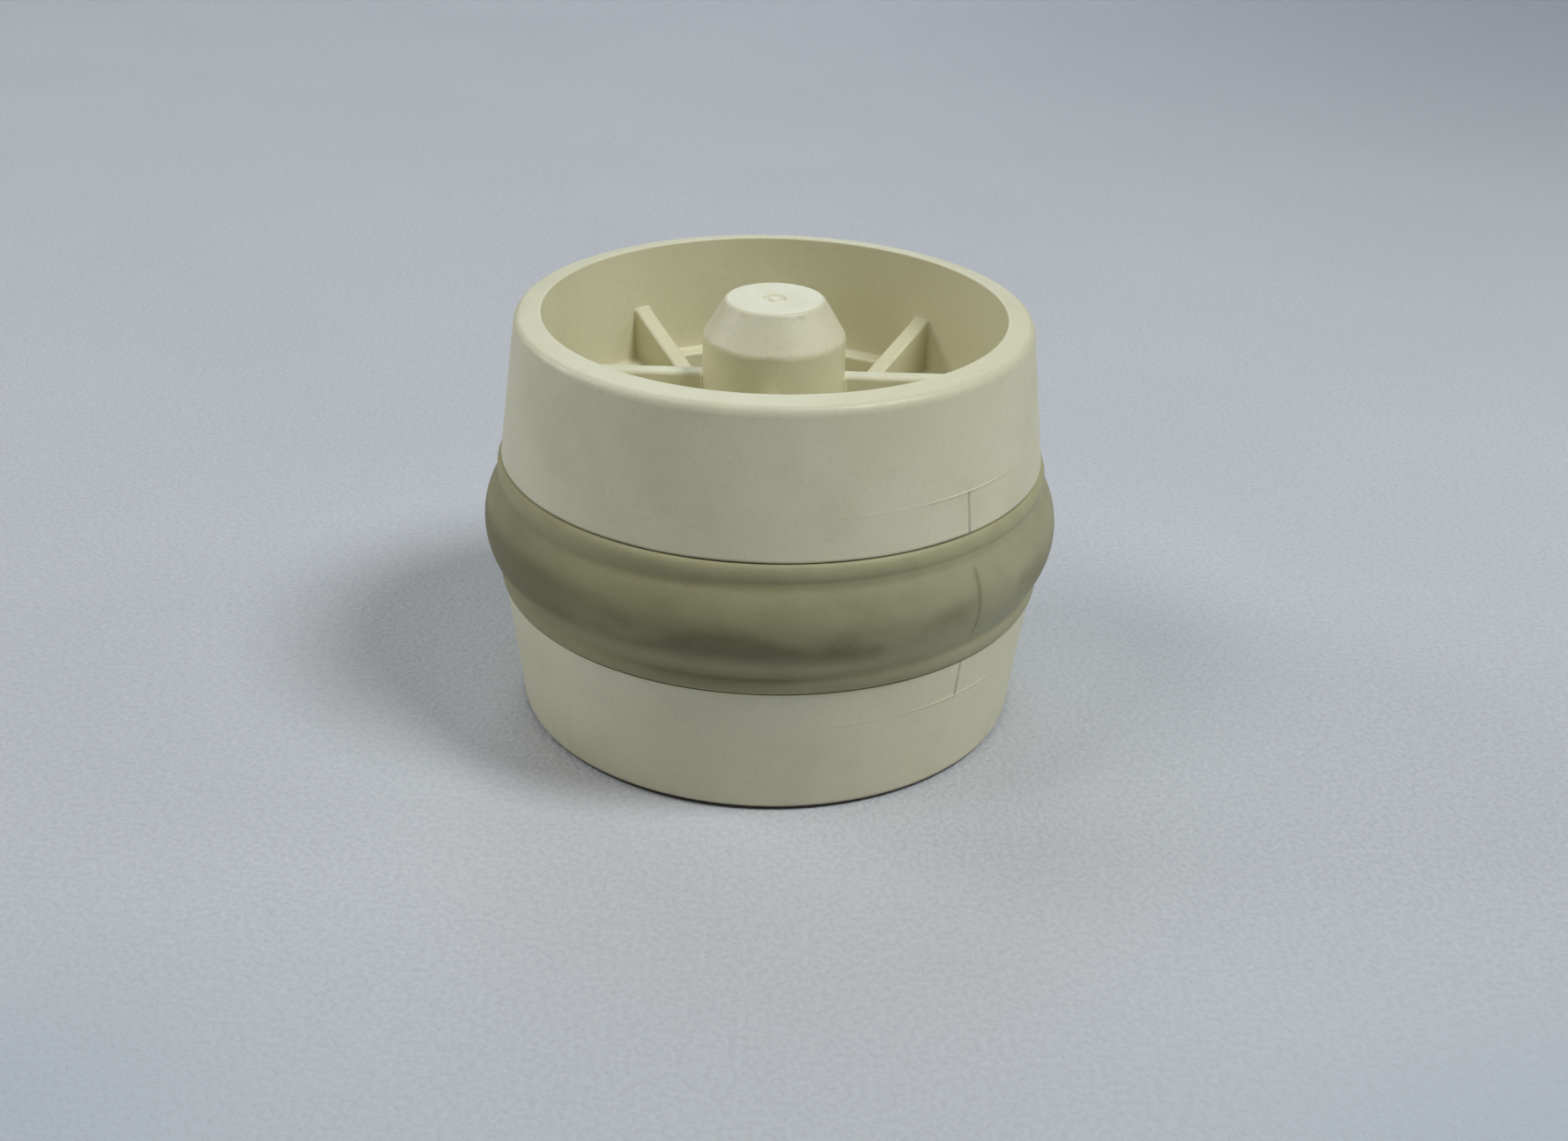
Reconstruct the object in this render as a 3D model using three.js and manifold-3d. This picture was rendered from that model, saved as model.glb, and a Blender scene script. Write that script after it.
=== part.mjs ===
// Barrel-shaped bumper roller for a gate, in millimetres, +Z up along its spindle.
//
// A hollow plastic shell carries a soft band round its waist. The shell's hub is closed by a conical nose on top. Below
// the web it widens into a bearing housing, open at its foot, where two sealed ball bearings run on a steel spindle.
// The spindle's hexagonal foot has a tapped hole and is the only part that is bolted down. It ends just inside the
// bottom rim. Everything from the outer bearing rings outwards turns.
// The origin is the centre of the bottom rim, on the surface that the roller stands on.

import * as THREE from "three";
import { mergeVertices } from "three/addons/utils/BufferGeometryUtils.js";
import Module from "manifold-3d";

const wasm = await Module();
wasm.setup();

// ---------------------------------------------------------------- driving dimensions

// Shell, outside
const HEIGHT = 65;
const BARREL_R = 42.2; // where the shell meets the band
const TAPER = 0.121; // loss of radius for each millimetre away from the band
const RIM_ROUND_R = 2.4; // radial size of the top rim's outer rounding
const RIM_ROUND_Z = 3; // axial size of the same rounding
const EDGE = 0.5; // small edge breaks
const OVERRUN = 1; // how far cuts and joined pieces run past a surface

// Shell, inside: two wells, one from each rim, with a web between them
const WELL_R = 35.45; // at the rims
const WELL_DRAFT = 0.062; // loss of radius for each millimetre of depth
const LEDGE_DEPTH = 18.5;
const LEDGE_WIDTH = 2.45;
const PIT_DRAFT = 0.3; // loss of radius from the ledge down to the web
const WEB_MID_Z = 32.5;
const WEB_THICKNESS = 3;

// Band and its groove
const BAND_MID_Z = 31.8;
const BAND_WIDTH = 21;
const BAND_LIP = 3.9; // width of each flat lip
const LIP_PROUD = 0.65; // the lips' height over the shell
const CROWN_PROUD = 2.9; // the crown's height over the shell
const GROOVE_DEPTH = 4;
const BAND_GAP = 0.1; // between the band and its groove

// Nose, ribs and bearing housing
const NOSE_R = 11;
const NOSE_CONE_Z = 60.7;
const NOSE_TOP_Z = 66.5;
const NOSE_TOP_R = 7.6;
const GATE_R = 1.8; // the moulding gate's dimple in the nose
const GATE_DEPTH = 0.3;
const NOSE_WALL = 3;
const RIB_THICKNESS = 3; // of spokes and gussets alike
const SPOKE_AZIMUTHS = [0, 90, 180, 270]; // in degrees
const SPOKE_DEPTH = 10.4; // from each rim down to the spokes' flat edges
const GUSSET_AZIMUTHS = [46, 130, 230, 314]; // in mirror pairs across the XZ plane
const GUSSET_DEPTH = 9.75; // from each rim down to the gussets, at the wall
const GUSSET_SLOPE = 0.582;
const HOUSING_R = 14;
const HOUSING_FOOT_Z = 4.5;

// Ball bearings of the 8 x 22 x 7 size
const BEARING_BORE_R = 4;
const BEARING_OUTER_R = 11;
const BEARING_WIDTH = 7;
const PITCH_R = 7.5;
const BALL_R = 1.984;
const BALLS = 7;
const INNER_LAND_R = 5.9;
const OUTER_LAND_R = 9.2;
const RACE_GAP = 0.2;
const POCKET_GAP = 0.15;
const CAGE_IN_R = 6.7;
const CAGE_OUT_R = 8.3;
const CAGE_GAP = 0.4; // between the cage's foot and the lower shield
const PRONG_RISE = 1; // from the balls' centres to the tips of the cage's prongs
const SHIELD_THICKNESS = 0.4;
const SHIELD_RECESS = 0.3;
const SHIELD_GAP = 0.3; // between a shield and the inner ring
const SEAT_STEP = 0.3; // how much wider than the outer ring's land the seat's shoulder is
const LOWER_BEARING_Z = 8;
const UPPER_BEARING_Z = 24;

// Spindle, rings and washers
const FIT = 0.1; // radial gap of each seated piece
const STACK_GAP = 0.1; // axial gap between stacked pieces
const SPINDLE_FOOT_Z = 1;
const SPINDLE_TOP_Z = 35.6;
const FOOT_FLATS = 13; // across the flats of the hexagon
const FOOT_TOP_Z = 4.5;
const SHOULDER_R = 5.5;
const CHAMFER = 0.6;
const TAPPED_R = 2.1;
const TAPPED_DEPTH = 15;
const SPACER_WALL = 1.4;
const SHIM_THICKNESS = 0.5;
const CLIP_GROOVE = 0.5; // depth of each circlip's groove
const CLIP_HALF_GAP = 0.2; // in radians
const HUB_CLIP = { thickness: 1, width: 1.8, lugCentreR: 8.7, lugR: 1.4, holeR: 0.6 };
const HUB_CLIP_GAP = 0.15; // between the hub's circlip and the lower bearing
const SPINDLE_CLIP = { thickness: 0.8, width: 1.6, lugCentreR: 5.5, lugR: 1.2, holeR: 0.5 };
const DUST_WASHER_THICKNESS = 1;
const DUST_WASHER_GAP = 0.4; // between the turning hub and the washer

const SHELL_FACETS = 48;
const TURNED_FACETS = 24;
const LUG_FACETS = 12;

// Heights and radii that follow
const webLow = WEB_MID_Z - WEB_THICKNESS / 2;
const webHigh = WEB_MID_Z + WEB_THICKNESS / 2;
const bandLow = BAND_MID_Z - BAND_WIDTH / 2;
const bandHigh = BAND_MID_Z + BAND_WIDTH / 2;
const grooveR = BARREL_R - GROOVE_DEPTH;
const upperBearingTop = UPPER_BEARING_Z + BEARING_WIDTH;
const spacerLow = LOWER_BEARING_Z + BEARING_WIDTH + STACK_GAP;
const spacerHigh = UPPER_BEARING_Z - STACK_GAP;
const shimLow = upperBearingTop + STACK_GAP;
const hubClipLow = LOWER_BEARING_Z - HUB_CLIP_GAP - HUB_CLIP.thickness;
const spindleClipLow = shimLow + SHIM_THICKNESS + STACK_GAP;

const cream = plastic(0xd9d8c4, 0.45);
const olive = plastic(0x83826a, 0.6);
const black = plastic(0x1d1e20, 0.55);
const nylon = plastic(0xd8c9a0, 0.5);
const steel = new THREE.MeshStandardMaterial({ color: 0xb9bcc0, roughness: 0.3, metalness: 1 });

function plastic(color, roughness) {
  return new THREE.MeshStandardMaterial({ color, roughness, metalness: 0 });
}

// ---------------------------------------------------------------- helpers

// A body of revolution about Z. The outline runs anticlockwise in (radius, z).
function turned(outline, facets = TURNED_FACETS) {
  const points = outline.map(([r, z]) => new THREE.Vector2(r, z));
  const endsOnAxis = points[0].x === 0 && points.at(-1).x === 0;
  if (!endsOnAxis) points.push(points[0].clone());
  return new THREE.LatheGeometry(points, facets).rotateX(Math.PI / 2);
}

function ring(innerR, outerR, low, high) {
  return turned([
    [innerR, low],
    [outerR, low],
    [outerR, high],
    [innerR, high],
  ]);
}

// Points along an arc of an ellipse in (radius, z), both ends included.
function arc(centreR, centreZ, sizeR, sizeZ, from, to, steps) {
  const points = [];
  for (let i = 0; i <= steps; i++) {
    const angle = from + ((to - from) * i) / steps;
    points.push([centreR + sizeR * Math.cos(angle), centreZ + sizeZ * Math.sin(angle)]);
  }
  return points;
}

function solid(geometry) {
  const bare = geometry.clone();
  bare.deleteAttribute("normal");
  bare.deleteAttribute("uv");
  const merged = mergeVertices(bare, 1e-4);
  const vertProperties = new Float32Array(merged.attributes.position.array);
  const triVerts = new Uint32Array(merged.index.array);
  return new wasm.Manifold(new wasm.Mesh({ numProp: 3, vertProperties, triVerts }));
}

function geometryOf(manifold) {
  const { vertProperties, triVerts } = manifold.getMesh();
  const geometry = new THREE.BufferGeometry();
  geometry.setAttribute("position", new THREE.BufferAttribute(vertProperties, 3));
  geometry.setIndex(new THREE.BufferAttribute(triVerts, 1));
  geometry.computeVertexNormals();
  return geometry;
}

function piece(name, geometry, material) {
  const mesh = new THREE.Mesh(geometry, material);
  mesh.name = name;
  return mesh;
}

// ---------------------------------------------------------------- shell

function barrelR(z) {
  const distance = Math.max(z - bandHigh, bandLow - z, 0);
  return BARREL_R - TAPER * distance;
}

function wellR(depth) {
  return WELL_R - WELL_DRAFT * depth;
}

// The half outline of the shell, from the bottom of the housing round the outside to the top of the nose.
function shellOutline() {
  const roundLow = HEIGHT - RIM_ROUND_Z;
  const roundCentreR = barrelR(roundLow) - RIM_ROUND_R;
  const ledgeOutR = wellR(LEDGE_DEPTH);
  const ledgeInR = ledgeOutR - LEDGE_WIDTH;
  const pitFloorR = ledgeInR - PIT_DRAFT;
  return [
    [0, HOUSING_FOOT_Z],
    [HOUSING_R - EDGE, HOUSING_FOOT_Z],
    [HOUSING_R, HOUSING_FOOT_Z + EDGE],
    [HOUSING_R, webLow],
    [pitFloorR, webLow],
    [ledgeInR, LEDGE_DEPTH],
    [ledgeOutR, LEDGE_DEPTH],
    [wellR(0), 0],
    [barrelR(0) - EDGE, 0],
    [barrelR(EDGE), EDGE],
    [barrelR(bandLow), bandLow],
    [grooveR, bandLow],
    [grooveR, bandHigh],
    [barrelR(bandHigh), bandHigh],
    ...arc(roundCentreR, roundLow, RIM_ROUND_R, RIM_ROUND_Z, 0, Math.PI / 2, 5),
    [wellR(EDGE) + EDGE, HEIGHT],
    [wellR(EDGE), HEIGHT - EDGE],
    [ledgeOutR, HEIGHT - LEDGE_DEPTH],
    [ledgeInR, HEIGHT - LEDGE_DEPTH],
    [pitFloorR, webHigh],
    [NOSE_R, webHigh],
    [NOSE_R, NOSE_CONE_Z],
    [NOSE_TOP_R, NOSE_TOP_Z],
    [GATE_R, NOSE_TOP_Z],
    [0, NOSE_TOP_Z - GATE_DEPTH],
  ];
}

// The stepped blind bore: mouth, circlip groove, bearing seat, shoulder, and the hollow of the nose.
function boreOutline() {
  const noseBoreR = NOSE_R - NOSE_WALL;
  const seatTop = upperBearingTop + STACK_GAP;
  const shoulderR = OUTER_LAND_R + SEAT_STEP;
  const clipLow = hubClipLow - STACK_GAP;
  const clipHigh = hubClipLow + HUB_CLIP.thickness + STACK_GAP;
  const below = HOUSING_FOOT_Z - OVERRUN;
  return [
    [0, below],
    [BEARING_OUTER_R, below],
    [BEARING_OUTER_R, clipLow],
    [BEARING_OUTER_R + CLIP_GROOVE + FIT, clipLow],
    [BEARING_OUTER_R + CLIP_GROOVE + FIT, clipHigh],
    [BEARING_OUTER_R, clipHigh],
    [BEARING_OUTER_R, seatTop],
    [shoulderR, seatTop],
    [noseBoreR, seatTop + (shoulderR - noseBoreR)],
    [noseBoreR, NOSE_CONE_Z],
    [NOSE_TOP_R - NOSE_WALL, NOSE_TOP_Z - NOSE_WALL],
    [0, NOSE_TOP_Z - NOSE_WALL],
  ];
}

// A flat-edged spoke between the hub and the wall, from the web to its free edge.
function spoke(angle, edgeZ) {
  const length = WELL_R - NOSE_WALL;
  const height = Math.abs(edgeZ - WEB_MID_Z);
  return new THREE.BoxGeometry(length, RIB_THICKNESS, height)
    .translate(WELL_R - length / 2, 0, (edgeZ + WEB_MID_Z) / 2)
    .rotateZ(angle);
}

// A gusset whose free edge falls from the wall towards the hub, above the web (side 1) or below it (side -1).
function gusset(angle, side) {
  const wallR = wellR(GUSSET_DEPTH);
  const wallHeight = HEIGHT / 2 - GUSSET_DEPTH;
  const edgeHeight = (r) => wallHeight - GUSSET_SLOPE * (wallR - r);
  const innerR = NOSE_R - OVERRUN;
  const outline = new THREE.Shape();
  outline.moveTo(innerR, 0);
  outline.lineTo(WELL_R, 0);
  outline.lineTo(WELL_R, edgeHeight(wallR));
  outline.lineTo(wallR, edgeHeight(wallR));
  outline.lineTo(innerR, edgeHeight(innerR));
  outline.closePath();
  return new THREE.ExtrudeGeometry(outline, { depth: RIB_THICKNESS, bevelEnabled: false })
    .translate(0, 0, -RIB_THICKNESS / 2)
    .rotateX((side * Math.PI) / 2)
    .rotateZ(angle)
    .translate(0, 0, WEB_MID_Z);
}

// Four spokes and four gussets in each well, turn and turn about.
function rollerShell() {
  const ribs = [];
  for (const azimuth of SPOKE_AZIMUTHS) {
    const angle = THREE.MathUtils.degToRad(azimuth);
    ribs.push(spoke(angle, HEIGHT - SPOKE_DEPTH), spoke(angle, SPOKE_DEPTH));
  }
  for (const azimuth of GUSSET_AZIMUTHS) {
    const angle = THREE.MathUtils.degToRad(azimuth);
    ribs.push(gusset(angle, 1), gusset(angle, -1));
  }
  let shell = solid(turned(shellOutline(), SHELL_FACETS));
  for (const rib of ribs) shell = shell.add(solid(rib));
  return geometryOf(shell.subtract(solid(turned(boreOutline()))));
}

// ---------------------------------------------------------------- band

// Two flat lips with a crown between them, an arc that meets them at a soft angle.
function bandOutline() {
  const innerR = grooveR + BAND_GAP;
  const low = bandLow + BAND_GAP;
  const high = bandHigh - BAND_GAP;
  const lipR = BARREL_R + LIP_PROUD;
  const rise = CROWN_PROUD - LIP_PROUD;
  const halfChord = BAND_WIDTH / 2 - BAND_LIP;
  const crownR = (halfChord * halfChord + rise * rise) / (2 * rise);
  const sweep = Math.asin(halfChord / crownR);
  return [
    [innerR, low],
    [lipR - EDGE, low],
    [lipR, low + EDGE],
    ...arc(lipR + rise - crownR, BAND_MID_Z, crownR, crownR, -sweep, sweep, 8),
    [lipR, high - EDGE],
    [lipR - EDGE, high],
    [innerR, high],
  ];
}

// ---------------------------------------------------------------- ball bearings

// Points along the raceway, between its two edges on a land of the given radius. It runs up the inner ring.
function raceway(landR) {
  const raceR = BALL_R + RACE_GAP;
  const sweep = Math.acos(Math.abs(landR - PITCH_R) / raceR);
  const middle = landR > PITCH_R ? 0 : Math.PI;
  return arc(PITCH_R, BEARING_WIDTH / 2, raceR, raceR, middle + sweep, middle - sweep, 4);
}

function innerRing() {
  const boreR = BEARING_BORE_R + FIT;
  return turned([
    [boreR, 0],
    [INNER_LAND_R, 0],
    ...raceway(INNER_LAND_R),
    [INNER_LAND_R, BEARING_WIDTH],
    [boreR, BEARING_WIDTH],
  ]);
}

function outerRing() {
  const outsideR = BEARING_OUTER_R - FIT;
  return turned([
    [OUTER_LAND_R, 0],
    [outsideR, 0],
    [outsideR, BEARING_WIDTH],
    [OUTER_LAND_R, BEARING_WIDTH],
    ...raceway(OUTER_LAND_R),
  ]);
}

function ballPlace(index) {
  const angle = (index * 2 * Math.PI) / BALLS;
  return [PITCH_R * Math.cos(angle), PITCH_R * Math.sin(angle), BEARING_WIDTH / 2];
}

// A crown cage: a ring whose prongs reach up between the balls.
function crownCage() {
  const low = SHIELD_RECESS + SHIELD_THICKNESS + CAGE_GAP;
  let cage = solid(ring(CAGE_IN_R, CAGE_OUT_R, low, BEARING_WIDTH / 2 + PRONG_RISE));
  for (let i = 0; i < BALLS; i++) {
    const pocket = new THREE.SphereGeometry(BALL_R + POCKET_GAP, 12, 6).translate(...ballPlace(i));
    cage = cage.subtract(solid(pocket));
  }
  return geometryOf(cage);
}

function shield(low) {
  return ring(INNER_LAND_R + SHIELD_GAP, OUTER_LAND_R - FIT, low, low + SHIELD_THICKNESS);
}

function bearing(name, z) {
  const group = new THREE.Group();
  group.position.z = z;
  const upperShieldZ = BEARING_WIDTH - SHIELD_RECESS - SHIELD_THICKNESS;
  group.add(
    piece(`${name}_inner_ring`, innerRing(), steel),
    piece(`${name}_outer_ring`, outerRing(), steel),
    piece(`${name}_cage`, crownCage(), nylon),
    piece(`${name}_lower_shield`, shield(SHIELD_RECESS), black),
    piece(`${name}_upper_shield`, shield(upperShieldZ), black),
  );
  for (let i = 0; i < BALLS; i++) {
    const ball = piece(`${name}_ball_${i + 1}`, new THREE.SphereGeometry(BALL_R, 10, 6), steel);
    ball.position.set(...ballPlace(i));
    group.add(ball);
  }
  return group;
}

// ---------------------------------------------------------------- spindle and circlips

function spindle() {
  const grooveLow = spindleClipLow - STACK_GAP;
  const grooveHigh = spindleClipLow + SPINDLE_CLIP.thickness + STACK_GAP;
  const shoulderZ = LOWER_BEARING_Z - STACK_GAP;
  const shank = turned([
    [0, SPINDLE_FOOT_Z + OVERRUN],
    [SHOULDER_R, SPINDLE_FOOT_Z + OVERRUN],
    [SHOULDER_R, shoulderZ],
    [BEARING_BORE_R, shoulderZ],
    [BEARING_BORE_R, grooveLow],
    [BEARING_BORE_R - CLIP_GROOVE, grooveLow],
    [BEARING_BORE_R - CLIP_GROOVE, grooveHigh],
    [BEARING_BORE_R, grooveHigh],
    [BEARING_BORE_R, SPINDLE_TOP_Z - CHAMFER],
    [BEARING_BORE_R - CHAMFER, SPINDLE_TOP_Z],
    [0, SPINDLE_TOP_Z],
  ]);
  const cornerR = FOOT_FLATS / Math.sqrt(3);
  const foot = new THREE.CylinderGeometry(cornerR, cornerR, FOOT_TOP_Z - SPINDLE_FOOT_Z, 6)
    .rotateX(Math.PI / 2)
    .translate(0, 0, (FOOT_TOP_Z + SPINDLE_FOOT_Z) / 2);
  const tapped = turned([
    [0, SPINDLE_FOOT_Z - OVERRUN],
    [TAPPED_R, SPINDLE_FOOT_Z - OVERRUN],
    [TAPPED_R, SPINDLE_FOOT_Z + TAPPED_DEPTH],
    [0, SPINDLE_FOOT_Z + TAPPED_DEPTH + TAPPED_R / 2],
  ]);
  return geometryOf(solid(shank).add(solid(foot)).subtract(solid(tapped)));
}

// An open ring with a lug on each side of its gap, which lies on +X. Each lug is a disc with a hole for pliers.
function circlip({ thickness, lugCentreR, lugR, holeR }, low, innerR, outerR) {
  const lugAngle = CLIP_HALF_GAP + lugR / lugCentreR;
  const band = new THREE.Shape();
  band.absarc(0, 0, outerR, CLIP_HALF_GAP, 2 * Math.PI - CLIP_HALF_GAP, false);
  band.absarc(0, 0, innerR, 2 * Math.PI - CLIP_HALF_GAP, CLIP_HALF_GAP, true);
  band.closePath();
  const options = { depth: thickness, bevelEnabled: false, curveSegments: TURNED_FACETS };
  let clip = solid(new THREE.ExtrudeGeometry(band, options));
  for (const angle of [lugAngle, -lugAngle]) {
    const disc = (radius, height) =>
      new THREE.CylinderGeometry(radius, radius, height, LUG_FACETS)
        .rotateX(Math.PI / 2)
        .translate(lugCentreR * Math.cos(angle), lugCentreR * Math.sin(angle), thickness / 2);
    clip = clip.add(solid(disc(lugR, thickness))).subtract(solid(disc(holeR, thickness * 2)));
  }
  return geometryOf(clip).translate(0, 0, low);
}

function hubCirclip() {
  const outerR = BEARING_OUTER_R + CLIP_GROOVE;
  return circlip(HUB_CLIP, hubClipLow, outerR - HUB_CLIP.width, outerR);
}

function spindleCirclip() {
  const innerR = BEARING_BORE_R - CLIP_GROOVE + FIT;
  return circlip(SPINDLE_CLIP, spindleClipLow, innerR, innerR + SPINDLE_CLIP.width);
}

// ---------------------------------------------------------------- assembly

const spindleHoleR = BEARING_BORE_R + FIT;
const seatedR = BEARING_OUTER_R - FIT;
const innerSpacer = ring(spindleHoleR, spindleHoleR + SPACER_WALL, spacerLow, spacerHigh);
const outerSpacer = ring(seatedR - SPACER_WALL, seatedR, spacerLow, spacerHigh);
const shimWasher = ring(spindleHoleR, INNER_LAND_R, shimLow, shimLow + SHIM_THICKNESS);
const dustWasherLow = FOOT_TOP_Z + STACK_GAP;
const dustWasherHigh = dustWasherLow + DUST_WASHER_THICKNESS;
const dustWasherR = BEARING_OUTER_R - DUST_WASHER_GAP;
const dustWasher = ring(SHOULDER_R + FIT, dustWasherR, dustWasherLow, dustWasherHigh);

const roller = new THREE.Group();
roller.add(
  piece("roller_shell", rollerShell(), cream),
  piece("bumper_band", turned(bandOutline(), SHELL_FACETS), olive),
  piece("spindle", spindle(), steel),
  bearing("lower_bearing", LOWER_BEARING_Z),
  bearing("upper_bearing", UPPER_BEARING_Z),
  piece("inner_spacer", innerSpacer, steel),
  piece("outer_spacer", outerSpacer, nylon),
  piece("shim_washer", shimWasher, steel),
  piece("dust_washer", dustWasher, black),
  piece("hub_circlip", hubCirclip(), steel),
  piece("spindle_circlip", spindleCirclip(), steel),
);

export default roller;
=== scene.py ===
"""Looks of a barrel-shaped bumper roller: a cream shell and a soft olive band on a steel spindle.

Lengths are millimetres, and MM turns them into metres. Each piece replaces the CAD node that its
settle call names.
"""

import math

import bmesh
import bpy
from mathutils import Matrix, Vector


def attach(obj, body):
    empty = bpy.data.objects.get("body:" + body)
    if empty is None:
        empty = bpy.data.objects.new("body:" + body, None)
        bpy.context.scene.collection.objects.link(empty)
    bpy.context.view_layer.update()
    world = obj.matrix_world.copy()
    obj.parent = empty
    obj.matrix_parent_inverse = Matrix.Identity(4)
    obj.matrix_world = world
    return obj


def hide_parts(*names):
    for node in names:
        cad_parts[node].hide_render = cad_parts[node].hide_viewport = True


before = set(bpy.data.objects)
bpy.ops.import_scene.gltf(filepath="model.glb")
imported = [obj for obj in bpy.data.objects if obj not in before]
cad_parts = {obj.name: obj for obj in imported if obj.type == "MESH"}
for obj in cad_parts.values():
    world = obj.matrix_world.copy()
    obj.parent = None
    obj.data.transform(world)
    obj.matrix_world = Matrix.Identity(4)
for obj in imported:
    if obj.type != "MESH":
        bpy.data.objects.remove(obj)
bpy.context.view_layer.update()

MM = 0.001
TURN = 2 * math.pi

# ---------------------------------------------------------------- driving dimensions

HEIGHT = 65.0
BARREL_R = 42.2
TAPER = 0.121

# The rim is fuller here than in the CAD, and rises by its fall towards the well.
RIM_FALL = 0.5
RIM_ROUND_R = 1.3
RIM_ROUND_Z = 1.8

WELL_R = 35.45
WELL_DRAFT = 0.062
LEDGE_DEPTH = 18.5
LEDGE_WIDTH = 2.45
PIT_DRAFT = 0.3
WEB_MID_Z = 32.5
WEB_THICKNESS = 3.0

BAND_MID_Z = 31.8
BAND_WIDTH = 21.0
BAND_LIP = 3.9
LIP_PROUD = 0.65
CROWN_PROUD = 2.9
BEAD_R = 0.9
BEAD_Z = 1.7
BEAD_START = 90
BEAD_SWEEP = 115
VALLEY_DEPTH = 0.2
FOLD_R = 2.5
GROOVE_DEPTH = 4.0
BAND_GAP = 0.1

NOSE_R = 11.0
NOSE_CONE_Z = 60.7
NOSE_TOP_Z = 66.5
NOSE_TOP_R = 7.6
NOSE_WALL = 3.0

# How far inside the gate mark's edge its floor starts, its floor ends and its bump is full.
GATE_STEPS = (0.4, 0.7, 1.0)
GATE_R = 1.8
GATE_DEPTH = 0.3

RIB_THICKNESS = 3.0
RIB_FILLET = 0.5
RIB_EDGE = 0.6
RIB_FOOT = 0.5
RIB_OVERLAP = 1.2
SPOKE_AZIMUTHS = (0, 90, 180, 270)
SPOKE_DEPTH = 10.4
GUSSET_AZIMUTHS = (46, 130, 230, 314)
GUSSET_DEPTH = 9.75
GUSSET_SLOPE = 0.582
HOUSING_R = 14.0
HOUSING_FOOT_Z = 4.5

BEARING_BORE_R = 4.0
BEARING_OUTER_R = 11.0
BEARING_WIDTH = 7.0
PITCH_R = 7.5
BALL_R = 1.984
BALLS = 7
INNER_LAND_R = 5.9
OUTER_LAND_R = 9.2
# The balls lie closer in their races and pockets here than in the CAD.
RACE_GAP = 0.12
POCKET_GAP = 0.12
CAGE_IN_R = 6.7
CAGE_OUT_R = 8.3
CAGE_GAP = 0.4
PRONG_RISE = 1.0
SHIELD_THICKNESS = 0.4
SHIELD_RECESS = 0.3
SHIELD_GAP = 0.3
SEAT_STEP = 0.3
LOWER_BEARING_Z = 8.0
UPPER_BEARING_Z = 24.0

SPINDLE_FOOT_Z = 1.0
SPINDLE_TOP_Z = 35.6
FOOT_FLATS = 13.0
FOOT_TOP_Z = 4.5
FOOT_FACE_INSET = 0.1
FOOT_MARGIN = 0.2
FOOT_BEVEL = math.radians(30)
SHOULDER_R = 5.5
TAPPED_R = 2.1
TAPPED_DEPTH = 15.0
THREAD_PITCH = 0.8
THREAD_DEPTH = 0.4
THREAD_MOUTH = 0.9
FIT = 0.1
STACK_GAP = 0.1
CHAMFER = 0.6
SPACER_WALL = 1.4
SHIM_THICKNESS = 0.5
CLIP_GROOVE = 0.5
CLIP_HALF_GAP = 0.2
HUB_CLIP = {"thickness": 1.0, "width": 1.8, "lug_centre_r": 8.7, "lug_r": 1.4, "hole_r": 0.6}
HUB_CLIP_GAP = 0.15
SPINDLE_CLIP = {"thickness": 0.8, "width": 1.6, "lug_centre_r": 5.5, "lug_r": 1.2, "hole_r": 0.5}
DUST_WASHER_THICKNESS = 1.0
DUST_WASHER_GAP = 0.4

# The two mould slides round the barrel leave a fine raised line above and below,
# and a split down each side.
SLIDE_LOW_Z = 15.3
SLIDE_HIGH_Z = 48.75
SPLIT_AZIMUTHS = (math.radians(-46.5), math.radians(133.5))
FLASH_HEIGHT = 0.13
FLASH_WIDTH = 0.4
FLASH_REACH = 12.0
FLASH_FAR_SHARE = 0.15
SPLIT_DEPTH = 0.09
SPLIT_WIDTH = 0.22

SHELL_SEGMENTS = 240
TURNED_SEGMENTS = 96
DISC_SEGMENTS = 32
FILLET_STEPS = 5
RIM_STEPS = 16
RACE_STEPS = 12
CLIP_STEPS = 90
BEAD_STEPS = 9
FOLD_STEPS = 7
CROWN_STEPS = 16

LAMP_DISTANCE = 1.3
WHITE = (1.0, 1.0, 1.0)
COOL_WHITE = (0.95, 0.98, 1.0)
SKY_BLUE = (0.72, 0.87, 1.0)

# Name, azimuth and elevation in degrees, size in metres, power in watts and colour.
LAMPS = (
    ("key_lamp", -24, 58, 0.4, 7.9, COOL_WHITE),
    ("left_lamp", 205, 58, 0.4, 2.0, WHITE),
    ("low_left_lamp", 166, 30, 0.5, 3.2, WHITE),
    ("low_right_lamp", 4, 28, 0.4, 1.0, WHITE),
    ("back_lamp", 105, 48, 0.6, 1.5, SKY_BLUE),
    ("low_back_lamp", 90, 27, 0.5, 1.4, SKY_BLUE),
    ("front_lamp", 270, 76, 0.5, 1.2, WHITE),
)
WORLD_STRENGTH = 0.066

web_low = WEB_MID_Z - WEB_THICKNESS / 2
web_high = WEB_MID_Z + WEB_THICKNESS / 2
band_low = BAND_MID_Z - BAND_WIDTH / 2
band_high = BAND_MID_Z + BAND_WIDTH / 2
groove_r = BARREL_R - GROOVE_DEPTH
upper_bearing_top = UPPER_BEARING_Z + BEARING_WIDTH
spacer_low = LOWER_BEARING_Z + BEARING_WIDTH + STACK_GAP
spacer_high = UPPER_BEARING_Z - STACK_GAP
shim_low = upper_bearing_top + STACK_GAP
shim_high = shim_low + SHIM_THICKNESS
hub_clip_low = LOWER_BEARING_Z - HUB_CLIP_GAP - HUB_CLIP["thickness"]
spindle_clip_low = shim_high + STACK_GAP
dust_washer_low = FOOT_TOP_Z + STACK_GAP
dust_washer_high = dust_washer_low + DUST_WASHER_THICKNESS


def barrel_r(z):
    return BARREL_R - TAPER * max(z - band_high, band_low - z, 0)


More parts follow.
